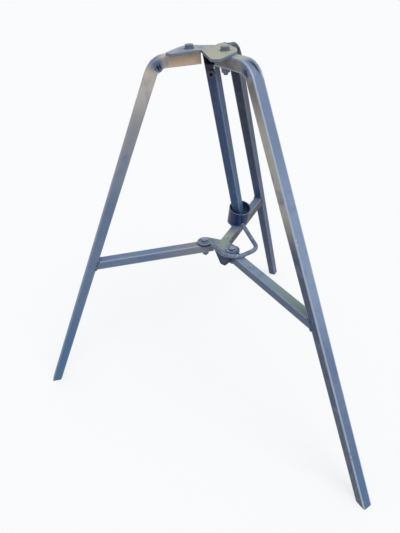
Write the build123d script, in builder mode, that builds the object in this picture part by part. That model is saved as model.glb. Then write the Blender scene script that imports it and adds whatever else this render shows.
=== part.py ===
from build123d import *
from math import atan2, cos, pi, radians, sin, sqrt, tan
import os

# A folding tripod stand of square steel tube. Two bent legs swing on upright bolts
# between a flat plate at the top and a folded hub plate half way down. The third leg
# is welded to both plates, with a sloping post whose foot stands in a short pipe cup.
# Millimetres, Z up, origin on the floor at the middle of the stand's footprint.

# Square tube of every leg, brace and post
tube = 25.0
wall = 2.0
corner = 2.5
half = tube / 2

# Heights of the tube centre lines above the floor
top_height = 914.0
brace_height = 430.0
plate_thick = 5.0

# Each leg: pivot from the middle of the hub, heading from +X, run from the pivot
# to the corner of the bend and to the foot, and the tail behind the pivot
left_pivot = Vector(-46.6, 4.2)
left_heading = 217.1
left_bend_run = 75.4
left_foot_run = 527.8
right_pivot = Vector(39.8, -5.7)
right_heading = -31.4
right_bend_run = 86.8
right_foot_run = 539.2
rear_start = Vector(0, 2)
rear_heading = 90.0
rear_bend_run = 120.7
rear_foot_run = 474.0
tube_tail = 22.0
right_brace_tail = 15.5

# The bend: the outer wall has caved in along its middle, and the sides are pinched
bend_radius = 34.5
bend_lead = 9.0
valley_depth = 9.0
inner_rise = 3.0
side_pinch = 2.0
bend_stations = 9

# Pivot bolts
bolt_radius = 5.0
running_gap = 0.05
head_flats = 17.0
head_height = 6.4
nut_height = 8.0
thread_end = 5.0
head_chamfer = 0.8
washer_radius = 10.5
washer_thick = 2.0
wide_washer_radius = 15.5

# Sloping post and its nut, which sits a little to one side of the post's middle
post_top = Vector(-26.7, 54.0, 926.5)
post_foot = Vector(1.4, 141.0, 442.5)
post_nut_drop = 53.0
post_nut_side = 3.0
post_nut_flats = 17.0
post_nut_height = 5.0
post_nut_bore = 4.0

# Pipe cup on the rear brace
cup_foot = Vector(-6.0, 142.0)
cup_radius = 31.0
cup_wall = 3.0
cup_height = 54.0
cup_lean = Vector(0.224, -0.155, 1.0)

# Folded hub plate
lobe_radius = 21.0
fold_offset = 21.0
fold_radius = 6.0
fold_start = -52.0
fold_end = 0.0
tongue_outline = [(-52.0, -1.0), (-18.0, -41.0), (3.0, -35.0), (25.0, -10.0), (25.0, -1.0)]
tongue_rounds = [0.0, 7.0, 9.0, 5.0, 2.0]

# Round rod that runs along the fold and loops round to the cup
rod_radius = 6.0
rod_height = 449.0
rod_start = -49.0
rod_first_corner = 5.5
rod_corners = [(70.0, -34.5), (103.0, 22.0), (14.0, 124.0)]
rod_bends = [20.0, 45.0, 28.0]


def toward(heading, distance=1.0):
    """A level step of the given length along a heading."""
    return Vector(distance * cos(radians(heading)), distance * sin(radians(heading)))


def lean_of(bend_run, foot_run):
    """The angle of a leg from upright."""
    return atan2(foot_run - bend_run, top_height)


def foot_reach(pivot, heading, bend_run, foot_run, axis_heading):
    """How far a foot reaches along a level axis, to its furthest corner."""
    lean = lean_of(bend_run, foot_run)
    turn = radians(heading - axis_heading)
    middle = pivot.X * cos(radians(axis_heading)) + pivot.Y * sin(radians(axis_heading))
    corner_reach = half / cos(lean) * abs(cos(turn)) + half * abs(sin(turn))
    return middle + foot_run * cos(turn) + corner_reach


left_leg_data = (left_pivot, left_heading, left_bend_run, left_foot_run)
right_leg_data = (right_pivot, right_heading, right_bend_run, right_foot_run)
rear_leg_data = (rear_start, rear_heading, rear_bend_run, rear_foot_run)

reach_left = foot_reach(*left_leg_data, 180)
reach_right = foot_reach(*right_leg_data, 0)
reach_front = foot_reach(*left_leg_data, 270)
reach_rear = foot_reach(*rear_leg_data, 90)
hub = Vector((reach_left - reach_right) / 2, (reach_front - reach_rear) / 2)


def at(point, height=0.0):
    """A point given from the middle of the hub, in the stand's own frame."""
    return Vector(hub.X + point.X, hub.Y + point.Y, height)


def rounded_square(size, radius):
    """Twelve points of a square with its corners rounded by two short sides each."""
    points = []
    for quarter in range(4):
        for step in range(3):
            angle = radians(90 * quarter + 45 * step)
            side_x = 1 if quarter in (0, 3) else -1
            side_y = 1 if quarter in (0, 1) else -1
            points.append((
                side_x * (size - radius) + radius * cos(angle),
                side_y * (size - radius) + radius * sin(angle),
            ))
    return points


def caved_square(size, radius, cave):
    """The tube's section in the bend, with one more point in the middle of each side.
    cave is 0 where the tube is still square and 1 half way round the bend."""
    points = rounded_square(size, radius)
    outer = (0, size - cave * valley_depth)
    left_side = (-size + cave * side_pinch, -0.3 * size)
    inner = (0, -size + cave * inner_rise)
    right_side = (size - cave * side_pinch, -0.3 * size)
    upper_half = points[0:3] + [outer] + points[3:6]
    return upper_half + [left_side] + points[6:9] + [inner] + points[9:12] + [right_side]


def bend_planes(pivot, heading, bend_run, foot_run):
    """Planes across the tube from just before the bend to just after it. Their X is
    level and across the leg, their Y points to the outside of the bend."""
    turn = pi / 2 - lean_of(bend_run, foot_run)
    tangent = bend_radius * tan(turn / 2)
    arc = bend_radius * turn
    along = toward(heading)
    across = toward(heading - 90)
    planes = []
    for station in range(bend_stations):
        travel = -bend_lead + station * (arc + 2 * bend_lead) / (bend_stations - 1)
        angle = min(max(travel, 0), arc) / bend_radius
        beyond = travel - angle * bend_radius
        run = bend_run - tangent + bend_radius * sin(angle) + beyond * cos(angle)
        drop = bend_radius * (1 - cos(angle)) + beyond * sin(angle)
        origin = at(pivot + along * run, top_height - drop)
        direction = Vector(along.X * cos(angle), along.Y * cos(angle), -sin(angle))
        cave = sin(pi * station / (bend_stations - 1)) ** 2
        planes.append((Plane(origin=origin, x_dir=across * -1, z_dir=direction), cave))
    return planes


def bent_leg(pivot, heading, bend_run, foot_run, tail, hole_base, name):
    """One leg: a level run under the top plate, the caved bend and the sloping run,
    hollow from its open inner end to its foot, which is cut level with the floor.
    With a tail behind its pivot, it has a bolt hole from hole_base upwards."""
    stations = bend_planes(pivot, heading, bend_run, foot_run)
    first = stations[0][0]
    last = stations[-1][0]
    level_run = (first.origin - at(pivot, top_height)).length + tail
    slope_run = last.origin.Z / cos(lean_of(bend_run, foot_run)) + tube
    with BuildPart() as leg:
        for size, radius, mode in ((half, corner, Mode.ADD), (half - wall, corner - 1, Mode.SUBTRACT)):
            with BuildSketch(first):
                with BuildLine():
                    Polyline(*rounded_square(size, radius), close=True)
                make_face()
            extrude(amount=-level_run, mode=mode)
            with BuildSketch(last):
                with BuildLine():
                    Polyline(*rounded_square(size, radius), close=True)
                make_face()
            extrude(amount=slope_run, mode=mode)
            for plane, cave in stations:
                with BuildSketch(plane):
                    with BuildLine():
                        Polyline(*caved_square(size, radius, cave), close=True)
                    make_face()
            loft(mode=mode)
        split(bisect_by=Plane.XY, keep=Keep.TOP)
        if tail:
            with BuildSketch(Plane.XY.offset(hole_base)):
                with Locations((hub.X + pivot.X, hub.Y + pivot.Y)):
                    Circle(bolt_radius + running_gap)
            extrude(amount=2 * tube, mode=Mode.SUBTRACT)
    leg.part.label = name
    return leg


def brace_end_plane(pivot, heading, bend_run, foot_run):
    """The plane of the leg's inner face, which the brace is cut to. It faces the hub."""
    lean = lean_of(bend_run, foot_run)
    run = bend_run + (top_height - brace_height) * tan(lean) - half / cos(lean)
    inward = toward(heading + 180, cos(lean))
    return Plane(
        origin=at(pivot + toward(heading, run), brace_height),
        z_dir=Vector(inward.X, inward.Y, -sin(lean)),
    )


def straight_brace(pivot, heading, bend_run, foot_run, tail, name):
    """One brace: a level tube from behind its pivot to the leg's inner face."""
    start = at(pivot + toward(heading, -tail), brace_height)
    with BuildPart() as brace:
        with BuildSketch(Plane(origin=start, x_dir=toward(heading - 90), z_dir=toward(heading))):
            with BuildLine():
                Polyline(*rounded_square(half, corner), close=True)
            make_face()
            with BuildLine():
                Polyline(*rounded_square(half - wall, corner - 1), close=True)
            make_face(mode=Mode.SUBTRACT)
        extrude(amount=foot_run)
        split(bisect_by=brace_end_plane(pivot, heading, bend_run, foot_run), keep=Keep.TOP)
        if tail:
            with BuildSketch(Plane.XY.offset(brace_height - tube)):
                with Locations((hub.X + pivot.X, hub.Y + pivot.Y)):
                    Circle(bolt_radius + running_gap)
            extrude(amount=2 * tube, mode=Mode.SUBTRACT)
    brace.part.label = name
    return brace


os.makedirs("parts", exist_ok=True)

left_leg = bent_leg(*left_leg_data, tube_tail, top_height, "left_leg")
left_brace = straight_brace(*left_leg_data, tube_tail, "left_brace")
right_leg = bent_leg(*right_leg_data, tube_tail, top_height - tube, "right_leg")
right_brace = straight_brace(*right_leg_data, right_brace_tail, "right_brace")
rear_leg = bent_leg(*rear_leg_data, 0.0, top_height, "rear_leg")
rear_brace = straight_brace(*rear_leg_data, 0.0, "rear_brace")

# Top plate: a flat plate with a lobe over each leg and one to the front
top_plate_base = top_height + half
top_outline = [
    (-15, -4), (-62, -50), (-80, -38), (-78, 30), (-56, 41), (-5, 39), (-5, 64),
    (9, 64), (56, 16), (68, -10), (64, -78), (45, -80),
]
top_rounds = [8, 10, 9, 16, 18, 6, 6, 6, 20, 16, 8, 9]
with BuildPart() as top_plate:
    with BuildSketch(Plane.XY.offset(top_plate_base)):
        with BuildLine():
            FilletPolyline(
                *[(hub.X + x, hub.Y + y) for x, y in top_outline],
                radius=top_rounds,
                close=True,
            )
        make_face()
        with Locations(*[(hub.X + pivot.X, hub.Y + pivot.Y) for pivot in (left_pivot, right_pivot)]):
            Circle(bolt_radius + running_gap, mode=Mode.SUBTRACT)
    extrude(amount=plate_thick)
top_plate.part.label = "top_plate"

# Hub plate: flat over the braces, folded down along the near side of the right brace
# into a tongue that narrows to a round tip
hub_plate_base = brace_height + half
fold_along = toward(right_heading)
fold_out = toward(right_heading - 90)
fold_plane = Plane(
    origin=at(right_pivot, hub_plate_base),
    x_dir=fold_along,
    z_dir=fold_out,
)
tongue_depth = fold_offset + fold_radius
with BuildPart() as hub_plate:
    with BuildSketch(Plane.XY.offset(hub_plate_base)):
        with BuildLine():
            corner_left = at(right_pivot + fold_along * fold_start + fold_out * fold_offset)
            corner_right = at(right_pivot + fold_along * fold_end + fold_out * fold_offset)
            Polyline(
                (corner_left.X, corner_left.Y),
                (corner_right.X, corner_right.Y),
                (hub.X + right_pivot.X + lobe_radius, hub.Y + right_pivot.Y),
                (hub.X + right_pivot.X, hub.Y + right_pivot.Y + lobe_radius),
                (hub.X + half, hub.Y + 27),
                (hub.X - half, hub.Y + 27),
                (hub.X + left_pivot.X, hub.Y + left_pivot.Y + lobe_radius),
                (hub.X + left_pivot.X, hub.Y + left_pivot.Y - lobe_radius + 5),
                close=True,
            )
        make_face()
        with Locations(*[(hub.X + pivot.X, hub.Y + pivot.Y) for pivot in (left_pivot, right_pivot)]):
            Circle(lobe_radius)
    extrude(amount=plate_thick)
    with BuildSketch(Plane(
        origin=at(right_pivot + fold_along * fold_end, hub_plate_base),
        x_dir=fold_out,
        z_dir=fold_along * -1,
    )):
        with BuildLine():
            arc_centre = (fold_offset, plate_thick - fold_radius)
            Line((fold_offset, 0), (fold_offset, plate_thick))
            CenterArc(arc_centre, fold_radius, 0, 90)
            Line((tongue_depth, arc_centre[1]), (tongue_depth - plate_thick, arc_centre[1]))
            CenterArc(arc_centre, fold_radius - plate_thick, 0, 90)
        make_face()
    extrude(amount=fold_end - fold_start)
    with BuildSketch(Plane(
        origin=at(right_pivot + fold_out * tongue_depth, hub_plate_base),
        x_dir=fold_along,
        z_dir=fold_out,
    )):
        with BuildLine():
            FilletPolyline(*tongue_outline, radius=tongue_rounds, close=True)
        make_face()
    extrude(amount=-plate_thick)
    with BuildSketch(Plane.XY.offset(hub_plate_base - 1)):
        with Locations(*[(hub.X + pivot.X, hub.Y + pivot.Y) for pivot in (left_pivot, right_pivot)]):
            Circle(bolt_radius + running_gap)
    extrude(amount=plate_thick + 2, mode=Mode.SUBTRACT)
hub_plate.part.label = "hub_plate"

# Pipe cup: a short length of pipe that leans a little, cut to sit on the rear brace
cup_plane = Plane(origin=at(cup_foot, hub_plate_base), z_dir=cup_lean)
with BuildPart() as pipe_cup:
    with BuildSketch(cup_plane.offset(-20)):
        Circle(cup_radius)
        Circle(cup_radius - cup_wall, mode=Mode.SUBTRACT)
    extrude(amount=cup_height + 20)
    split(bisect_by=Plane.XY.offset(hub_plate_base), keep=Keep.TOP)
pipe_cup.part.label = "pipe_cup"

# Sloping post, welded beside the rear leg's level run, with its foot in the cup
post_line = post_foot - post_top
post_plane = Plane(
    origin=at(post_top, post_top.Z),
    x_dir=(1, 0, 0),
    z_dir=post_line,
)


def nut_seat(lift):
    """The plane of the post nut's seat on the post's front face, lifted off the face."""
    down = post_plane.z_dir * post_nut_drop
    sideways = post_plane.x_dir * post_nut_side
    outward = post_plane.y_dir * (half + lift)
    origin = post_plane.origin + down + sideways + outward
    return Plane(origin=origin, x_dir=post_plane.x_dir, z_dir=post_plane.y_dir)


with BuildPart() as centre_post:
    with BuildSketch(post_plane.offset(-half)):
        with BuildLine():
            Polyline(*rounded_square(half, corner), close=True)
        make_face()
        with BuildLine():
            Polyline(*rounded_square(half - wall, corner - 1), close=True)
        make_face(mode=Mode.SUBTRACT)
    extrude(amount=post_line.length + tube)
    split(bisect_by=Plane.XY.offset(top_plate_base), keep=Keep.BOTTOM)
    split(bisect_by=Plane.XY.offset(hub_plate_base), keep=Keep.TOP)
    with BuildSketch(nut_seat(1)):
        Circle(post_nut_bore)
    extrude(amount=-half, mode=Mode.SUBTRACT)
centre_post.part.label = "centre_post"

# Post nut: welded over a hole in the post's front face
with BuildPart() as post_nut:
    with BuildSketch(nut_seat(0)):
        RegularPolygon(post_nut_flats / 2, 6, major_radius=False)
        Circle(post_nut_bore, mode=Mode.SUBTRACT)
    extrude(amount=post_nut_height)
post_nut.part.label = "post_nut"

# Loop rod: along the fold, round in front of the braces and back to the cup,
# where its end is shaped to the pipe
rod_offset = fold_offset + sqrt(
    (fold_radius + rod_radius) ** 2
    - (rod_height - hub_plate_base - plate_thick + fold_radius) ** 2
)
rod_line = right_pivot + fold_out * rod_offset
with BuildPart() as loop_rod:
    with BuildLine() as rod_path:
        FilletPolyline(
            at(rod_line + fold_along * rod_start, rod_height),
            at(rod_line + fold_along * rod_first_corner, rod_height),
            *[at(Vector(x, y), rod_height) for x, y in rod_corners],
            radius=rod_bends,
        )
    with BuildSketch(Plane(origin=rod_path.line @ 0, z_dir=rod_path.line % 0)):
        Circle(rod_radius)
    sweep()
    with BuildSketch(cup_plane.offset(-cup_height)):
        Circle(cup_radius)
    extrude(amount=2 * cup_height, mode=Mode.SUBTRACT)
loop_rod.part.label = "loop_rod"


def pivot_bolt(pivot, plate_base, grip, name):
    """A hexagon bolt, head up, through a washer, a plate and the grip under the plate."""
    axis = at(pivot)
    head_base = plate_base + plate_thick + washer_thick
    reach = washer_thick + plate_thick + grip + thread_end
    with BuildPart() as bolt:
        with BuildSketch(Plane(origin=(axis.X, axis.Y, head_base))):
            RegularPolygon(head_flats / 2, 6, major_radius=False)
        extrude(amount=head_height)
        top_edges = bolt.edges().group_by(Axis.Z)[-1]
        chamfer(top_edges, length=head_chamfer, length2=2 * head_chamfer)
        with BuildSketch(Plane(origin=(axis.X, axis.Y, head_base))):
            Circle(bolt_radius)
        extrude(amount=-reach)
        chamfer(bolt.edges().group_by(Axis.Z)[0], length=1)
    bolt.part.label = name
    return bolt


def pivot_nut(pivot, nut_top, bore, turn, name):
    """A hexagon nut hanging from the given height, one corner turned to a heading."""
    axis = at(pivot)
    with BuildPart() as nut:
        with BuildSketch(Plane(origin=(axis.X, axis.Y, nut_top))):
            RegularPolygon(head_flats / 2, 6, major_radius=False, rotation=turn)
            Circle(bore, mode=Mode.SUBTRACT)
        extrude(amount=-nut_height)
        flats = nut.edges().filter_by(GeomType.LINE).group_by(Axis.Z)
        chamfer(flats[0] + flats[-1], length=head_chamfer)
    nut.part.label = name
    return nut


def washer(pivot, base, radius, name):
    """A flat washer standing on the given height."""
    axis = at(pivot)
    with BuildPart() as ring:
        with BuildSketch(Plane(origin=(axis.X, axis.Y, base))):
            Circle(radius)
            Circle(bolt_radius + running_gap, mode=Mode.SUBTRACT)
        extrude(amount=washer_thick)
    ring.part.label = name
    return ring


pieces = [
    left_leg, left_brace, right_leg, right_brace, rear_leg, rear_brace,
    top_plate, hub_plate, pipe_cup, centre_post, post_nut, loop_rod,
]
for side, level, pivot, plate_base in (
    ("left", "top", left_pivot, top_plate_base),
    ("left", "hub", left_pivot, hub_plate_base),
    ("right", "top", right_pivot, top_plate_base),
    ("right", "hub", right_pivot, hub_plate_base),
):
    bolt_name = f"{level}_{side}"
    seat_radius = wide_washer_radius if bolt_name == "hub_right" else washer_radius
    seat = plate_base + plate_thick
    pieces.append(washer(pivot, seat, seat_radius, f"{bolt_name}_upper_washer"))
    if bolt_name == "top_left":
        # Short bolt: its nut is welded inside the tube, flats to the tube's sides
        pieces.append(pivot_bolt(pivot, plate_base, wall + nut_height, f"{bolt_name}_bolt"))
        pieces.append(pivot_nut(
            pivot, plate_base - wall, bolt_radius + running_gap, left_heading, f"{bolt_name}_nut",
        ))
    else:
        # Through bolt, with a washer and a nut under the tube
        washer_base = plate_base - tube - washer_thick
        grip = tube + washer_thick + nut_height
        pieces.append(pivot_bolt(pivot, plate_base, grip, f"{bolt_name}_bolt"))
        pieces.append(washer(pivot, washer_base, washer_radius, f"{bolt_name}_lower_washer"))
        pieces.append(pivot_nut(pivot, washer_base, bolt_radius, 0, f"{bolt_name}_nut"))

for piece in pieces:
    print(piece.part.label, len(piece.part.solids()), round(piece.part.volume), piece.part.is_valid)
    export_step(piece.part, f"parts/{piece.part.label}.step")
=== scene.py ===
# Folding tripod stand: square steel tube, painted slate blue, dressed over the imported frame
import math

import bmesh
import bpy
from mathutils import Euler, Matrix, Quaternion, Vector, noise


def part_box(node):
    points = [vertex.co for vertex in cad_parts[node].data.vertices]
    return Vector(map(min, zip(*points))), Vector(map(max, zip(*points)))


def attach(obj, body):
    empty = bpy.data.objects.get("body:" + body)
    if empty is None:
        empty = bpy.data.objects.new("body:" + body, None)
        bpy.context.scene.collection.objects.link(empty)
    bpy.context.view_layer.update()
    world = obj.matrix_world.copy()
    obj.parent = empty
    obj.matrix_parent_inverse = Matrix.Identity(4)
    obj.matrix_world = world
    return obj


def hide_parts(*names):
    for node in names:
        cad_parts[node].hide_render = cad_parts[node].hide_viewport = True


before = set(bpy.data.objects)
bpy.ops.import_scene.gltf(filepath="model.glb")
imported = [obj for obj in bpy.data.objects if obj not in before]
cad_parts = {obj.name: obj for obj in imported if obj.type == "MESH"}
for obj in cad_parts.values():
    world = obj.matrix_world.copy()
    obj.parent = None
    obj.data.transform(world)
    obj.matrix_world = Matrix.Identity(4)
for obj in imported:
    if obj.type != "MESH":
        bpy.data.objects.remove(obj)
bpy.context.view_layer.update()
print("frame loaded:", len(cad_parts), "nodes")

scene = bpy.context.scene

hub = Vector((-0.016111, -0.078423, 0.0))  # middle of the hub, on the floor

# Square tube and the heights of its centre lines, in metres
tube = {
    "size": 0.025,
    "wall": 0.002,
    "corner": 0.0025,
    "cornerCut": 0.00248965,    # how far along each side the rounded corner starts
    "flatCuts": 11,             # cuts across each flat side
    "topHeight": 0.914,
    "braceHeight": 0.430,
    "bendRadius": 0.0345,
    "bendLead": 0.009,
    "overshoot": 0.03,          # made too long by this, then cut off to fit
}
half = tube["size"] / 2

# Each leg from its pivot: heading from +X in degrees, run to the bend and to the foot, and the
# side that faces the photograph: 1 is left of the heading, -1 right
legs = {
    "left": {"pivot": (-0.0466, 0.0042), "heading": 217.1, "bendRun": 0.0754, "footRun": 0.5278,
             "tail": 0.022, "braceTail": 0.022, "near": 1, "body": "left_leg_body"},
    "right": {"pivot": (0.0398, -0.0057), "heading": -31.4, "bendRun": 0.0868, "footRun": 0.5392,
              "tail": 0.022, "braceTail": 0.0155, "near": -1, "body": "right_leg_body"},
    "rear": {"pivot": (0.0, 0.002), "heading": 90.0, "bendRun": 0.1207, "footRun": 0.474,
             "tail": 0.0, "braceTail": 0.0, "near": -1, "body": "frame"},
}

# The camera that the photograph was solved to
camera = {
    "place": (0.40999, -0.91252, 1.1031),
    "down": 37.66,      # degrees below level
    "turn": 30.59,      # degrees from looking along +Y
    "roll": -5.35,
    "lens": 28.243,
    "sensor": 36,
    "clip": (0.05, 50),
}


def addCamera():
    data = bpy.data.cameras.new("photoCamera")
    data.lens = camera["lens"]
    data.sensor_width = camera["sensor"]
    data.clip_start, data.clip_end = camera["clip"]
    obj = bpy.data.objects.new("photoCamera", data)
    scene.collection.objects.link(obj)
    aim = Euler((math.radians(90 - camera["down"]), 0, math.radians(camera["turn"])))
    obj.rotation_mode = "QUATERNION"
    obj.rotation_quaternion = aim.to_quaternion() @ Quaternion((0, 0, 1), math.radians(camera["roll"]))
    obj.location = camera["place"]
    scene.camera = obj


addCamera()
print("camera placed")


def linear(hexColour):
    # sRGB hex to the linear colour that a socket takes
    out = []
    for i in (0, 2, 4):
        c = int(hexColour[i:i + 2], 16) / 255
        out.append(c / 12.92 if c <= 0.04045 else ((c + 0.055) / 1.055) ** 2.4)
    return (*out, 1.0)


def addNode(tree, kind, links=None, **settings):
    # one node, its settings, and its sockets given as values, as sockets or as nodes, which
    # stand for their first output
    node = tree.nodes.new("ShaderNode" + kind)
    for key, value in settings.items():
        setattr(node, key, value)
    for socket, value in (links or {}).items():
        if isinstance(value, bpy.types.Node):
            value = value.outputs[0]
        if isinstance(value, bpy.types.NodeSocket):
            tree.links.new(value, node.inputs[socket])
        else:
            node.inputs[socket].default_value = value
    return node


def newMaterial(name):
    material = bpy.data.materials.new(name)
    material.use_nodes = True
    material.node_tree.nodes.clear()
    return material, material.node_tree


def millimetres(size):
    # noise scale whose blotches are about this many millimetres across
    return 1000.0 / size


smooth = {"interpolation_type": "SMOOTHSTEP"}    # 0 below the first value, 1 above the second

# What the noise in the enamel draws: size in millimetres, detail, roughness
enamelNoise = {
    "cloud": (30, 4.0, 0.5),      # where a tint lies thick or thin
    "drags": (4, 2.0, 0.5),       # marks of the brush and of handling, drawn out along the piece
    "grime": (5, 5.0, 0.7),       # freckles of 2 to 6 mm
    "breaks": (16, 6.0, 0.75),    # gaps in the rubbed arrises
    "region": (30, 2.0, 0.5),     # which parts of a piece have been knocked
    "peel": (2.2, 2.0, 0.5),      # orange peel, about twice its real size so that it shows
}


# Brushed-on semi-gloss enamel on mild steel: an even colour with a faint orange peel, lifted to a pale line
# along the arrises, partly where they have rubbed through and partly as a painted highlight, and freckled
# with small chips
def paintedSteel(name, look):
    material, tree = newMaterial(name)
    surface = addNode(tree, "TexCoord")
    coords, facing = surface.outputs["Object"], surface.outputs["Normal"]
    place = addNode(tree, "SeparateXYZ", {0: coords})
    alongGrain = addNode(tree, "Mapping", {"Vector": coords, "Scale": look["grain"]})

    field = {}
    for key, (size, detail, roughness) in {**enamelNoise, "patches": (look["patch"], 5.0, 0.6)}.items():
        field[key] = addNode(tree, "TexNoise", {
            "Vector": alongGrain if key == "drags" else coords, "Scale": millimetres(size),
            "Detail": detail, "Roughness": roughness})
    flecks = addNode(tree, "TexVoronoi", {
        "Vector": coords, "Scale": millimetres(look["chipGap"]), "Randomness": 1.0})

    # marks made with the mesh: where a bend is, where it is dinted, and the arrises
    bent, dint, arris = (addNode(tree, "Attribute", attribute_name=mark).outputs["Fac"]
                         for mark in ("bent", "dint", "arris"))

    # each mask rises from its first value to its second
    rises = {
        "patches": (field["patches"], 0.38, 0.62),
        "cloud": (field["cloud"], 0.15, 0.5),
        "drags": (field["drags"], 0.5, 0.75),
        "grime": (field["grime"], look["grimeFrom"], look["grimeFrom"] + 0.1),
        "dint": (dint, 0.12, 0.8),
        "arris": (arris, 0.45, 0.95),
        "breaks": (field["breaks"], look["edgeFrom"], look["edgeFrom"] + 0.15),
        "flecks": (flecks.outputs["Distance"], 0.13, 0.07),    # 1.5 to 3 mm across
        "region": (field["region"], look["chipFrom"], look["chipFrom"] + 0.05),
    }
    if "deep" in look:
        rises["deep"] = (place.outputs["Z"], look["deepFrom"], look["deepTo"])
    if "sides" in look:
        rises["sides"] = (addNode(tree, "SeparateXYZ", {0: facing}).outputs["Z"], 0.75, 0.35)
    mask = {key: addNode(tree, "MapRange", {0: value, 1: low, 2: high}, **smooth)
            for key, (value, low, high) in rises.items()}

    # the coats and the wear, each over the one before: where it lies, how thickly, its colour
    coats = [(mask["patches"], 1.0, look["thin"])]
    if "deep" in look:
        coats.append((mask["deep"], 1.0, look["deep"]))
    straight = addNode(tree, "Math", {0: 1.0, 1: bent}, operation="SUBTRACT")
    thinly = addNode(tree, "Math", {0: straight, 1: mask["cloud"]}, operation="MULTIPLY")
    for tint, axis, start, full, side in look["tints"]:
        stretch = addNode(tree, "MapRange", {0: place.outputs[axis], 1: start, 2: full}, **smooth)
        share = addNode(tree, "Math", {0: thinly, 1: stretch}, operation="MULTIPLY")
        # a tint kept to faces turned one way paints light and shade by facing
        if side:
            turned = addNode(tree, "VectorMath", {0: facing, 1: side}, operation="DOT_PRODUCT")
            towards = addNode(tree, "MapRange", {0: turned.outputs["Value"], 1: 0.35, 2: 0.85}, **smooth)
            share = addNode(tree, "Math", {0: share, 1: towards}, operation="MULTIPLY")
        coats.append((share, 1.0, tint))
    coats.append((mask["drags"], look["drag"], look["rubbed"]))
    # faces that don't face up take the sides colour: painted shade on the cut sides
    if "sides" in look:
        coats.append((mask["sides"], 1.0, look["sides"]))
    coats.append((mask["grime"], 0.6, look["grime"]))
    # the dints of the bends take the hollow colour: painted shade in the creases
    coats.append((mask["dint"], 0.85, look["hollow"]))
    # the arris line: rubbed-through paint and a painted highlight; on the plates its colour is darker,
    # painted shade along their edges
    arrisWearAndHighlight = addNode(tree, "Math", {0: mask["arris"], 1: mask["breaks"]}, operation="MULTIPLY")
    coats.append((arrisWearAndHighlight, look["edge"], look["edgeColour"]))

    # chips down to grey steel, and the few that stand out in the photograph, each in its place
    chip = addNode(tree, "Math", {0: mask["flecks"], 1: mask["region"]}, operation="MULTIPLY")
    for x, y, z, size in look["chips"]:
        reach = addNode(tree, "VectorMath", {0: coords, 1: (x, y, z)}, operation="DISTANCE")
        ragged = addNode(tree, "Math", {0: field["grime"], 1: size, 2: reach.outputs["Value"]},
                         operation="MULTIPLY_ADD")
        knocked = addNode(tree, "MapRange", {0: ragged, 1: size * 1.5, 2: size * 1.2}, **smooth)
        chip = addNode(tree, "Math", {0: chip, 1: knocked}, operation="MAXIMUM")
    coats.append((chip, 1.0, look["steel"]))

    colour = linear(look["paint"])
    for where, strength, tint in coats:
        share = addNode(tree, "Math", {0: where, 1: strength}, operation="MULTIPLY")
        colour = addNode(tree, "Mix", {0: share, 6: colour, 7: linear(tint)}, data_type="RGBA").outputs[2]

    # the peel stands up, a chip is sunk
    lumps = addNode(tree, "Math", {0: chip, 1: -2.0, 2: field["peel"]}, operation="MULTIPLY_ADD")
    bump = addNode(tree, "Bump", {"Height": lumps, "Strength": 0.12, "Distance": 0.0006})
    rough = addNode(tree, "MapRange", {
        0: field["patches"], 1: 0.3, 2: 0.7, 3: look["roughness"] - 0.06, 4: look["roughness"] + 0.08})
    metal = addNode(tree, "Math", {0: arrisWearAndHighlight, 1: 0.3}, operation="MULTIPLY")
    shader = addNode(tree, "BsdfPrincipled", {
        "Base Color": colour, "Roughness": rough, "Normal": bump, "Metallic": metal, "IOR": 1.5,
        "Specular IOR Level": look["gloss"]})
    addNode(tree, "OutputMaterial", {0: shader})
    return material


# Which way the drag marks run: the smaller an axis's number, the longer they are along it
upright, level, alongY, plateWise = (1.0, 1.0, 0.06), (0.06, 0.06, 1.0), (1.0, 0.06, 1.0), (0.2, 1.0, 1.0)

# One coat of slate-blue enamel went over the whole stand; each piece's own look changes from it
basePaint = {
    "paint": "5f7396", "thin": "687d9f", "patch": 50,    # the coat, its thin patches, their width in mm
    "rubbed": "8f9db3", "grain": upright, "drag": 0.22,
    # grime is freckles of dirt; hollow is painted shade in the dints of the bends
    "grime": "2a2722", "grimeFrom": 0.66, "hollow": "1e2738",
    # the pale arris line is rubbed-through paint and a painted highlight
    "edge": 0.4, "edgeFrom": 0.3, "edgeColour": "b4bfd2",
    "steel": "ccd2dc", "chipFrom": 0.67, "chipGap": 14,
    "chips": [],    # the place and size of a chip of its own, in metres
    "tints": [], "roughness": 0.42, "gloss": 0.5,
}
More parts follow.
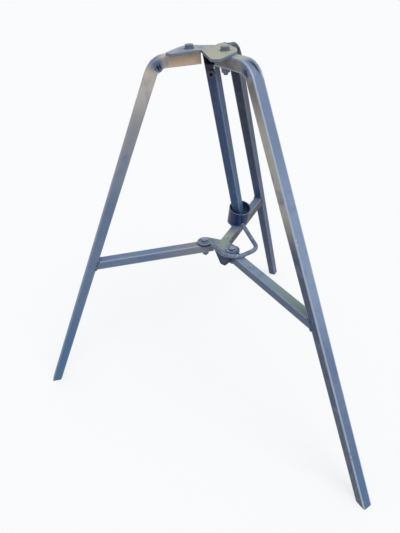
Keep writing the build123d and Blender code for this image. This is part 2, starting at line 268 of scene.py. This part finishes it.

# A tint is a colour along a stretch of a piece: some are dust, handling or thin paint, and many are painted
# light, shade and reflection. Each gives its colour, the axis it runs on, where it starts and is full, and
# the way that its faces look, or None for all of them. None lies on a bend
up, down, rightward = (0.0, 0.0, 1.0), (0.0, 0.0, -1.0), (1.0, 0.0, 0.0)
rightInner = (-0.521, -0.854, 0.0)          # the right leg's side that is left in the photograph
under = ("2b3342", "Z", -1.0, 0.0, down)    # painted shade on the undersides
paints = {
    "left_leg": {
        "paint": "667b9c", "thin": "6e83a2", "edge": 0.2, "drag": 0.1,
        "deep": "4a7199", "deepFrom": 0.42, "deepTo": 0.12,    # bluer towards the foot: painted reflection of the cool room below
        # warm grey to pale beige up the leg: painted reflection of the warm room above; on the level run
        # also painted light where the top plate shades it
        "tints": [("9a9ba2", "Z", 0.56, 0.8, None), ("ccc4bc", "Z", 0.78, 0.87, None),
                  ("f4d6b6", "Z", 0.885, 0.9, None), under]},
    "right_leg": {
        "edge": 0.8, "deep": "48688f", "deepFrom": 0.30, "deepTo": 0.05,
        # painted light: lighter from mid-height up, darker on the side turned from the light, warm painted
        # reflection up that side, paler on its top by the bend, and bluer towards the foot
        "tints": [("869bb9", "Z", 0.35, 0.52, None), ("7589aa", "Z", 0.68, 0.8, None),
                  ("354b6d", "Z", 0.8, 0.7, rightInner), ("cfc8bc", "Z", 0.57, 0.68, rightInner),
                  ("857e79", "Z", 0.8, 0.89, rightInner), ("b4b9a6", "Z", 0.9, 0.92, up), under],
        "chips": [(0.2306, -0.2211, 0.6165, 0.0018), (0.2347, -0.2236, 0.6068, 0.0022)]},
    "rear_leg": {
        # a darker copy of the enamel: painted shade on the leg at the back
        "paint": "3a4458", "thin": "454e5f", "edge": 0.3, "gloss": 0.3,
        "deep": "3c5378", "deepFrom": 0.75, "deepTo": 0.45, "tints": [under]},
    "left_brace": {
        "paint": "667b9c", "thin": "6e83a2", "grain": level, "grimeFrom": 0.6,
        "tints": [("8a8c94", "X", hub.x - 0.16, hub.x - 0.06, None), under]},
    "right_brace": {
        "paint": "52668a", "thin": "5a6e90", "grain": level,
        # paler and greener on its top faces towards each end: painted light
        "tints": [("8599ae", "X", hub.x + 0.02, hub.x + 0.08, up),
                  ("83988f", "X", hub.x + 0.14, hub.x + 0.24, up), under]},
    "rear_brace": {
        "paint": "6a7a8e", "grain": alongY,
        # paler on its top faces near the hub, painted light, and near-black on the faces turned to +X,
        # painted shade
        "tints": [("a3a996", "Y", hub.y + 0.11, hub.y + 0.05, up), under,
                  ("1c1a1e", "Y", -1.0, -0.9, rightward)]},
    "centre_post": {
        # a darker copy of the enamel, painted shade, and darker again at the top: the painted shadow of the
        # top plate
        "paint": "41557a", "thin": "485c82", "edge": 0.3, "gloss": 0.3,
        "deep": "3d6088", "deepFrom": 0.72, "deepTo": 0.5,
        "tints": [("3a3c48", "Z", 0.84, 0.9, None)], "chips": [(-0.02905, -0.02978, 0.8856, 0.0028)]},
    "top_plate": {
        "paint": "8090a6", "thin": "a9b2b0", "patch": 16, "rubbed": "c9cabd", "grain": plateWise,
        "sides": "76849a",    # faces that don't face up, its cut sides, painted darker: painted shade
        # its rounded arrises darker still: painted shade along its edges
        "edgeColour": "56627c", "edgeFrom": 0.2, "edge": 0.8, "grimeFrom": 0.6,
        "tints": [("b5b39e", "X", hub.x - 0.045, hub.x + 0.02, None)]},
    "hub_plate": {
        "paint": "708094", "thin": "838f92", "patch": 16, "rubbed": "a9aea6", "grain": plateWise,
        # its sides near-black navy and a navy band across the tongue below the rod: painted shade
        "sides": "123060", "gloss": 0.2,
        "edgeColour": "4c5a74", "edgeFrom": 0.2, "edge": 0.8, "grimeFrom": 0.58,
        "tints": [("929d99", "X", hub.x - 0.03, hub.x, None),
                  ("4c678c", "X", hub.x + 0.015, hub.x + 0.035, None)]},
    "pipe_cup": {
        "paint": "1a3060", "thin": "213a68", "drag": 0.08, "edgeColour": "a3afc4", "edge": 0.9,
        "roughness": 0.3, "gloss": 0.25},
    "loop_rod": {
        "paint": "5c6a85", "thin": "74829c", "edge": 0.0, "rubbed": "c3ccda", "drag": 0.65,
        "roughness": 0.34, "chips": [(0.0468, -0.1181, 0.4535, 0.003)]},
    "post_nut": {"paint": "3d4a66", "thin": "4a4658", "edgeColour": "7a6a72"},
    "welds": {"paint": "4a5a76", "thin": "56667f", "grimeFrom": 0.56, "edge": 0.3},
}
materials = {}
for piece, look in paints.items():
    materials[piece] = paintedSteel(piece + "_enamel", {**basePaint, **look})


# Zinc-plated steel gone dull: pale grey metal with painted-over flats and brown in the corners, darker on
# faces that don't face up, painted shade
def dullZinc(name, look):
    material, tree = newMaterial(name)
    coords = addNode(tree, "TexCoord").outputs["Object"]
    blotch = addNode(tree, "TexNoise", {"Vector": coords, "Scale": millimetres(7), "Detail": 5.0})
    spots = addNode(tree, "TexNoise", {"Vector": coords, "Scale": millimetres(2.5), "Detail": 4.0})
    upward = addNode(tree, "SeparateXYZ", {0: addNode(tree, "NewGeometry").outputs["Normal"]}).outputs["Z"]
    colour = linear(look["metal"])
    # the side colour on faces that don't face up is painted shade
    for value, low, high, tint in ((blotch, 0.4, 0.62, look["paint"]), (upward, 0.9, 0.3, look["side"]),
                                   (spots, 0.6, 0.72, look["brown"])):
        share = addNode(tree, "MapRange", {0: value, 1: low, 2: high}, **smooth)
        colour = addNode(tree, "Mix", {0: share, 6: colour, 7: linear(tint)}, data_type="RGBA").outputs[2]
    bump = addNode(tree, "Bump", {"Height": spots, "Strength": 0.2, "Distance": 0.0004})
    shader = addNode(tree, "BsdfPrincipled", {
        "Base Color": colour, "Metallic": look["metallic"], "Roughness": look["roughness"], "Normal": bump})
    addNode(tree, "OutputMaterial", {0: shader})
    return material


# side is painted shade on the flanks of the heads and nuts
fastenerLook = {"metal": "a9b4c6", "paint": "7e8ca6", "side": "687690", "brown": "4b4036",
                "metallic": 0.35, "roughness": 0.4}
materials["fastener"] = dullZinc("dull_zinc", fastenerLook)
print("materials made:", len(materials))


def finishPiece(bm, name, body, material, replaces=(), sharp=40.0, wall=None, weighted=True):
    # a mesh object at the origin, smooth but for its sharp edges, that rides on its body
    bmesh.ops.recalc_face_normals(bm, faces=bm.faces)
    for face in bm.faces:
        face.smooth = True
    for e in bm.edges:
        if len(e.link_faces) == 2 and e.calc_face_angle() > math.radians(sharp):
            e.smooth = False
    mesh = bpy.data.meshes.new(name)
    bm.to_mesh(mesh)
    bm.free()
    obj = bpy.data.objects.new(name, mesh)
    scene.collection.objects.link(obj)
    mesh.materials.append(material)
    if wall:
        solid = obj.modifiers.new("wall", "SOLIDIFY")
        solid.thickness = wall
        solid.offset = -1
        solid.use_even_offset = True
    if weighted:
        normals = obj.modifiers.new("flats", "WEIGHTED_NORMAL")
        normals.keep_sharp = True
    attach(obj, body)
    if replaces:
        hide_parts(*replaces)


def tubeProfile(bm):
    # the tube's section as a closed loop of edges about the origin: X across, Y to the outside
    ring = bmesh.ops.create_circle(bm, segments=4, radius=half * math.sqrt(2))["verts"]
    bmesh.ops.rotate(bm, verts=ring, cent=(0, 0, 0), matrix=Matrix.Rotation(math.radians(45), 3, "Z"))
    bmesh.ops.bevel(bm, geom=ring, offset=tube["cornerCut"], offset_type="OFFSET", segments=4,
                    profile=0.5, affect="VERTICES", material=-1)
    longSides = [e for e in bm.edges if e.calc_length() > half]
    bmesh.ops.subdivide_edges(bm, edges=longSides, cuts=tube["flatCuts"])
    for mark in ("arris", "dint", "bent"):
        bm.verts.layers.float.new(mark)
    arris = bm.verts.layers.float["arris"]
    for v in bm.verts:
        v[arris] = 1.0 if min(abs(v.co.x), abs(v.co.y)) > half - tube["corner"] * 1.1 else 0.0
    return bm.edges[:]


def sweep(bm, loop, frames):
    # extrudes the loop from frame to frame; returns the rings of vertices
    rings = [list(dict.fromkeys(v for e in loop for v in e.verts))]
    bmesh.ops.transform(bm, matrix=frames[0], verts=rings[0])
    for before, after in zip(frames, frames[1:]):
        new = bmesh.ops.extrude_edge_only(bm, edges=loop)["geom"]
        ring = [g for g in new if isinstance(g, bmesh.types.BMVert)]
        loop = [g for g in new if isinstance(g, bmesh.types.BMEdge)
                and g.verts[0] in ring and g.verts[1] in ring]
        bmesh.ops.transform(bm, matrix=after @ before.inverted(), verts=ring)
        rings.append(ring)
    return rings


def sectionFrame(origin, direction):
    # a section's place: its Z runs along the tube, its Y to the upper or outer side, its X across
    along = Vector(direction).normalized()
    across = Vector((0, 1, 0))
    out = along.cross(across)
    return Matrix((
        (across.x, out.x, along.x, origin[0]),
        (across.y, out.y, along.y, origin[1]),
        (across.z, out.z, along.z, origin[2]),
        (0, 0, 0, 1)))


def legLean(leg):
    return math.atan2(leg["footRun"] - leg["bendRun"], tube["topHeight"])


def placeLeg(leg):
    # from the leg's own upright plane, X along its heading, to the stand
    turn = Matrix.Rotation(math.radians(leg["heading"]), 4, "Z")
    return Matrix.Translation(hub + Vector((*leg["pivot"], 0))) @ turn


def cutTube(bm, place, facing):
    # takes off what lies beyond a plane, on the side that it faces
    whole = bm.verts[:] + bm.edges[:] + bm.faces[:]
    bmesh.ops.bisect_plane(bm, geom=whole, plane_co=place, plane_no=facing, clear_outer=True)


# The cold bend: the outer wall has folded in beside a crease that crosses it from the near
# corner to the far one, the sides are pinched and the inner corner is nearly sharp
bend = {
    "stations": 26,
    "valley": 0.009,
    "creaseFrom": -0.85,    # from the near side, -1, to the far side, 1
    "creaseTo": 0.65,
    "creaseWidth": 0.12,
    "sink": 0.0015,         # how far the near corner has sunk
    "tuck": 0.0036,
    "pinch": 0.002,
    "dimple": 0.004,        # deeper dint on each side, near the inner corner
    "folds": (1.9, 3),      # how fast the dimple waves along the bend and across the side
    "crumple": 0.0007,
    "crumples": 160,        # to the metre
}


def makeLeg(side):
    leg = legs[side]
    lean = legLean(leg)
    turn = math.pi / 2 - lean
    radius, lead, last = tube["bendRadius"], tube["bendLead"], bend["stations"]
    tangent = radius * math.tan(turn / 2)
    arc = radius * turn
    frames = [sectionFrame((-leg["tail"], 0, tube["topHeight"]), (1, 0, 0))]
    caves = [0.0]    # how far the tube has caved in, from 0 at the ends of the bend to 1
    for k in range(last + 1):
        travel = -lead + k * (arc + 2 * lead) / last
        angle = min(max(travel, 0), arc) / radius
        beyond = travel - angle * radius
        x = leg["bendRun"] - tangent + radius * math.sin(angle) + beyond * math.cos(angle)
        z = tube["topHeight"] - radius * (1 - math.cos(angle)) - beyond * math.sin(angle)
        frames.append(sectionFrame((x, 0, z), (math.cos(angle), 0, -math.sin(angle))))
        caves.append(math.sin(math.pi * k / last) ** 2)
    direction = Vector((math.sin(lean), 0, -math.cos(lean)))
    toFloor = frames[-1].translation.z / math.cos(lean)
    foot = frames[-1].translation + direction * (toFloor + tube["overshoot"])
    frames.append(sectionFrame(foot, direction))
    caves.append(0.0)
    bm = bmesh.new()
    rings = sweep(bm, tubeProfile(bm), frames)
    arris, dint, bent = (bm.verts.layers.float[mark] for mark in ("arris", "dint", "bent"))
    for station, (ring, place, cave) in enumerate(zip(rings, frames, caves)):
        if cave == 0:
            continue
        crease = bend["creaseFrom"] + (bend["creaseTo"] - bend["creaseFrom"]) * (station - 1) / last
        back = place.inverted()
        for v in ring:
            # across and out run from -1 to 1 over the section, far away from the near side
            p = back @ v.co
            across, out = p.x / half, p.y / half
            far = -across * leg["near"]
            v[bent] = math.sqrt(cave)
            if out > 0.5:
                middle, width = (1 + crease) / 2, (1 - crease) / 2
                hollow = cave * max(0.0, 1 - abs(far - middle) / width) ** 0.8 * (out - 0.5) * 2
                p.y -= bend["valley"] * hollow + bend["sink"] * cave * max(0.0, -far)
                # how deep the valley is, which also marks it for painted shade
                v[dint] = hollow
                # the crease takes the arris mark, a pale line along it that is a painted highlight
                v[arris] = max(v[arris], cave * math.exp(-((far - crease) / bend["creaseWidth"]) ** 2))
            if out < -0.4:
                p.y += bend["tuck"] * cave ** 3 * (out + 0.4) / 0.6
            if abs(across) > 0.5:
                pucker = cave ** 2 * math.exp(-((out + 0.5) / 0.5) ** 2)
                fold = 1 + 0.5 * math.sin(station * bend["folds"][0] + out * bend["folds"][1])
                inward = bend["pinch"] * cave * max(0.0, 1 - abs(out + 0.3) / 0.9)
                p.x -= math.copysign(inward + bend["dimple"] * pucker * fold, across)
                # the dimple is marked for painted shade too
                v[dint] = max(v[dint], 0.7 * pucker * fold)
            ripple = noise.noise(v.co * bend["crumples"] + Vector((leg["heading"], 0, 0)))
            p.y += bend["crumple"] * cave * ripple
            v.co = place @ p
    cutTube(bm, (0, 0, 0), (0, 0, -1))
    bmesh.ops.transform(bm, matrix=placeLeg(leg), verts=bm.verts)
    name = side + "_leg"
    finishPiece(bm, name + "_tube", leg["body"], materials[name], [name], wall=tube["wall"])


def innerFaceRun(leg, z):
    # how far out the leg's inner face is at a height
    lean = legLean(leg)
    return leg["bendRun"] + (tube["topHeight"] - z) * math.tan(lean) - half / math.cos(lean)


def makeBrace(side):
    leg = legs[side]
    height = tube["braceHeight"]
    end, lean = innerFaceRun(leg, height), legLean(leg)
    frames = [sectionFrame((x, 0, height), (1, 0, 0))
              for x in (-leg["braceTail"], end + tube["overshoot"])]
    bm = bmesh.new()
    sweep(bm, tubeProfile(bm), frames)
    cutTube(bm, (end, 0, height), (math.cos(lean), 0, math.sin(lean)))
    bmesh.ops.transform(bm, matrix=placeLeg(leg), verts=bm.verts)
    name = side + "_brace"
    finishPiece(bm, name + "_tube", leg["body"], materials[name], [name], wall=tube["wall"])


for side in legs:
    makeLeg(side)
    makeBrace(side)
print("legs and braces made")

# Plates, cup, post and rod: the CAD shape, its arrises rubbed round by so many metres
rubbed = {
    "top_plate": {"round": 0.0009, "slot": "plate_paint", "sharp": 50},
    "hub_plate": {"round": 0.0009, "slot": "plate_paint", "sharp": 50},
    "pipe_cup": {"round": 0.0006, "slot": "cup_paint", "sharp": 50},
    "centre_post": {"round": 0.0, "slot": "post_paint", "sharp": 60},
    "post_nut": {"round": 0.0005, "slot": "fastener_steel", "sharp": 50},
    "loop_rod": {"round": 0.0005, "slot": "rod_paint", "sharp": 50},
}
merging = {
    "gap": 0.00001,       # corners this close are one
    "flat": 0.5,          # degrees within which neighbours are one face
    "strip": 0.0025,      # a face narrower than this is part of a rounded arris
    "arris": 40,          # degrees from which an edge is one to round
}


def mergedCopy(node):
    # a CAD node's loose triangles as one closed mesh, with its flat faces whole again
    bm = bmesh.new()
    bm.from_mesh(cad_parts[node].data)
    bmesh.ops.remove_doubles(bm, verts=bm.verts, dist=merging["gap"])
    bmesh.ops.dissolve_limit(
        bm, angle_limit=math.radians(merging["flat"]), verts=bm.verts, edges=bm.edges)
    return bm


for node, look in rubbed.items():
    bm = mergedCopy(node)
    arris = bm.faces.layers.float.new("arris")
    strips = [f for f in bm.faces
              if f.calc_area() < merging["strip"] * max(e.calc_length() for e in f.edges)]
    if look["round"]:
        arrises = [e for e in bm.edges
                   if len(e.link_faces) == 2 and e.calc_face_angle() > math.radians(merging["arris"])]
        strips = bmesh.ops.bevel(bm, geom=arrises, offset=look["round"], offset_type="OFFSET", segments=2,
                                 profile=0.5, affect="EDGES", clamp_overlap=True, material=-1)["faces"]
    for strip in strips:
        strip[arris] = 1.0
    finishPiece(bm, node + "_rubbed", "frame", materials[node], [node], sharp=look["sharp"])
print("plates, cup, post and rod made")

for name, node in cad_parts.items():
    if any(word in name for word in ("bolt", "washer", "nut")) and name != "post_nut":
        node.data.materials.clear()
        node.data.materials.append(materials["fastener"])

weld = {
    "radius": 0.0022,
    "step": 0.0009,
    "ripple": 0.0032,         # from one ripple of the bead to the next
    "swell": 0.16,            # how much thicker a ripple is
    "uneven": (0.1, 220),     # slow changes in thickness, and how many to the metre
    "taper": (0.45, 0.25),    # thickness of an open end, and what each step adds
    "sides": 8,
}


def weldBead(name, body, points, size=1.0, closed=False):
    # a rippled bead along a line of points, which are measured from the hub on the frame
    path = [hub + Vector(p) for p in points] if body == "frame" else [Vector(p) for p in points]
    if closed:
        path.append(path[0])
    spots = []
    for start, stop in zip(path, path[1:]):
        count = max(1, round((stop - start).length / weld["step"]))
        spots += [start.lerp(stop, i / count) for i in range(count)]
    spots.append(path[-1])
    frames = []
    travelled = 0.0
    (amount, grain), (thin, rise) = weld["uneven"], weld["taper"]
    for i, spot in enumerate(spots):
        ahead = spots[min(i + 2, len(spots) - 1)] - spots[max(i - 2, 0)]
        travelled += (spot - spots[max(i - 1, 0)]).length
        turn = ahead.to_track_quat("Z", "Y").to_matrix().to_4x4()
        ripple = abs(math.sin(math.pi * travelled / weld["ripple"]))
        swell = 1 + weld["swell"] * ripple + amount * noise.noise(spot * grain)
        fade = min(1.0, thin + rise * min(i, len(spots) - 1 - i)) if not closed else 1.0
        frames.append(Matrix.Translation(spot) @ turn @ Matrix.Scale(swell * size * fade, 4))
    bm = bmesh.new()
    bmesh.ops.create_circle(bm, segments=weld["sides"], radius=weld["radius"])
    rings = sweep(bm, bm.edges[:], frames)
    if closed:
        bmesh.ops.remove_doubles(bm, verts=rings[0] + rings[-1], dist=0.0006)
    else:
        bmesh.ops.contextual_create(bm, geom=rings[0])
        bmesh.ops.contextual_create(bm, geom=rings[-1])
    finishPiece(bm, name, body, materials["welds"], sharp=80, weighted=False)


for side, leg in legs.items():
    low, high = tube["braceHeight"] - half, tube["braceHeight"] + half
    corners = (-half, low), (half, low), (half, high), (-half, high)
    placed = [placeLeg(leg) @ Vector((innerFaceRun(leg, z), y, z)) for y, z in corners]
    if leg["body"] == "frame":
        placed = [p - hub for p in placed]
    weldBead(side + "_brace_weld", leg["body"], placed, size=1.2, closed=True)

# Beads on the frame, each with its finish, its size and its points
plateBase, hubBase = tube["topHeight"] + half, tube["braceHeight"] + half
beads = {
    "rear_leg_weld_left": ("leg_paint", 1.0, [(-half, 0.004, plateBase), (-half, 0.038, plateBase)]),
    "rear_leg_weld_right": ("leg_paint", 1.0, [(half, 0.004, plateBase), (half, 0.058, plateBase)]),
    "rear_leg_weld_end": ("leg_paint", 1.0, [(-0.005, 0.0645, plateBase), (0.0085, 0.0645, plateBase)]),
    "rear_brace_weld": ("leg_paint", 1.1, [(-half, 0.0275, hubBase), (half, 0.0275, hubBase)]),
    "post_weld": ("post_paint", 1.1, [
        (-0.0134, 0.066, 0.9255), (-0.0134, 0.044, 0.9255), (-0.0134, 0.047, 0.906)]),
}
cupFoot, cupReach = Vector((-0.006, 0.142, hubBase)), 0.0313
for place, middle in (("front", 280), ("back", 80)):
    angles = [math.radians(middle + 4 * k) for k in range(-7, 8)]
    arc = [cupFoot + Vector((cupReach * math.cos(a), cupReach * math.sin(a), 0.0006)) for a in angles]
    beads["cup_weld_" + place] = ("cup_paint", 1.0, arc)
for name, (slotName, size, points) in beads.items():
    weldBead(name, "frame", points, size=size)
print("welds laid")

# Thread on the end of each bolt, below its nut
thread = {
    "pitch": 0.0015,
    "depth": 0.0008,
    "radius": 0.005,
    "length": 0.0045,
    "start": 0.0011,      # above the bolt's lower end
    "proud": 0.00002,
    "stepsPerTurn": 20,
}


def boltThread(height, side):
    # a ridge wound round the end that stands below the nut
    low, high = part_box(f"{height}_{side}_bolt")
    axis = Vector(((low.x + high.x) / 2, (low.y + high.y) / 2, low.z + thread["start"]))
    turns = thread["length"] / thread["pitch"]
    bm = bmesh.new()
    inner, outer = thread["radius"] - thread["depth"], thread["radius"] + thread["proud"]
    corners = [(inner, -0.4), (outer, -0.1), (outer, 0.1), (inner, 0.4)]    # heights in pitches
    ridge = [bm.verts.new(axis + Vector((r, 0, z * thread["pitch"]))) for r, z in corners]
    edges = [bm.edges.new((a, b)) for a, b in zip(ridge, ridge[1:])]
    steps = round(turns * thread["stepsPerTurn"])
    bmesh.ops.spin(bm, geom=ridge + edges, cent=axis, axis=(0, 0, 1), angle=math.tau * turns, steps=steps,
                   dvec=(0, 0, thread["length"] / steps))
    finishPiece(bm, f"{height}_{side}_thread", "frame", materials["fastener"],
                weighted=False)


for height in ("top", "hub"):
    for side in ("left", "right"):
        boltThread(height, side)
print("threads cut")

# A matt white board under the stand, seen as white and still taking its shadow
board = {
    "size": 40.0,          # half its width, in metres
    "bounce": "8e9196",    # it throws less light back at the stand than the eye sees on it
    "seen": "f4f5f6",
    "glow": 0.72,
}


def whiteBoard(look):
    material, tree = newMaterial("white_board")
    rays = addNode(tree, "LightPath")
    seen = addNode(tree, "Math", {0: rays.outputs["Is Camera Ray"], 1: rays.outputs["Is Glossy Ray"]},
                   operation="MAXIMUM")
    pale = addNode(tree, "Mix", {0: seen, 6: linear(look["bounce"]), 7: linear(look["seen"])},
                   data_type="RGBA").outputs[2]
    matt = addNode(tree, "BsdfDiffuse", {"Color": pale})
    glow = addNode(tree, "Emission", {"Color": (1, 1, 1, 1), "Strength": 1.0})
    share = addNode(tree, "Math", {0: seen, 1: look["glow"]}, operation="MULTIPLY")
    both = addNode(tree, "MixShader", {0: share, 1: matt, 2: glow})
    addNode(tree, "OutputMaterial", {0: both})
    return material


bm = bmesh.new()
bmesh.ops.create_grid(bm, x_segments=1, y_segments=1, size=board["size"])
mesh = bpy.data.meshes.new("floor")
bm.to_mesh(mesh)
bm.free()
mesh.materials.append(whiteBoard(board))
floor = bpy.data.objects.new("floor", mesh)
scene.collection.objects.link(floor)

# The room: dim at the skirting, bright at the ceiling, and plain white where it is seen
room = {"tint": "eef2f8", "low": 0.3, "high": 0.9}
world = bpy.data.worlds.new("studio")
world.use_nodes = True
scene.world = world
tree = world.node_tree
tree.nodes.clear()
rays = addNode(tree, "LightPath")
sky = addNode(tree, "SeparateXYZ", {0: addNode(tree, "TexCoord").outputs["Generated"]})
brightness = addNode(tree, "MapRange", {
    0: sky.outputs["Z"], 1: 0.0, 2: 1.0, 3: room["low"], 4: room["high"]})
around = addNode(tree, "Background", {"Color": linear(room["tint"]), "Strength": brightness})
white = addNode(tree, "Background", {"Color": (1, 1, 1, 1), "Strength": 1.0})
both = addNode(tree, "MixShader", {0: rays.outputs["Is Camera Ray"], 1: around, 2: white})
addNode(tree, "OutputWorld", {0: both})

# A broad soft light from above and the right, and a weaker one from the front
lamps = {
    "key": {"from": (0.58, -0.21, 0.787), "strength": 1.25, "spread": 40, "tint": "fffdf8"},
    "fill": {"from": (0.258, -0.962, 0.087), "strength": 0.5, "spread": 60, "tint": "fffaf2"},
}
for name, lamp in lamps.items():
    data = bpy.data.lights.new(name, "SUN")
    data.energy = lamp["strength"]
    data.angle = math.radians(lamp["spread"])
    data.color = linear(lamp["tint"])[:3]
    obj = bpy.data.objects.new(name, data)
    scene.collection.objects.link(obj)
    obj.location = Vector(lamp["from"]) * 3
    obj.rotation_mode = "QUATERNION"
    obj.rotation_quaternion = Vector(lamp["from"]).to_track_quat("Z", "Y")
scene.view_settings.view_transform = "Standard"
print("stage set")
